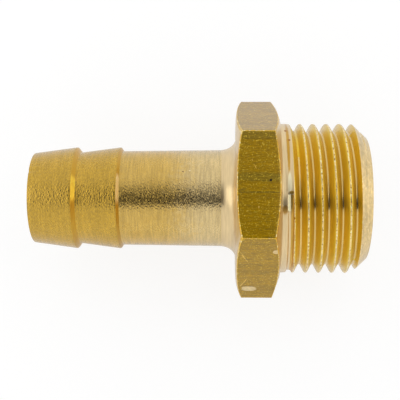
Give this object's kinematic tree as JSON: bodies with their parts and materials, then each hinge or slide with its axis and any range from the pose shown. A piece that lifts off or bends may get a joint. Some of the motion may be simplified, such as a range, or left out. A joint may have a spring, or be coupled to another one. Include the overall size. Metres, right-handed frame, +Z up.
{
  "type": "hose tail",
  "caption": "One-piece brass fitting: barbed tail for a push-on hose, chamfered spanner hexagon and right-hand male pipe thread round a straight flow bore.",
  "frame": {"origin": "on the axis of the flow bore, in the plane of the hexagon shoulder that seats on the port", "axes": "+X along the bore axis, out of the threaded end; +Z up, square to the hexagon flat that the part lies on; +Y completes a right-handed frame"},
  "size_m": [0.0458, 0.0278, 0.024],
  "materials": {
    "turned_brass": "bare machined brass: fine turning lines on the round surfaces, drawn bar surface with small scratches on the hexagon flats"
  },
  "bodies": {
    "root": {"hose_tail": "turned_brass"}
  },
  "joints": []
}
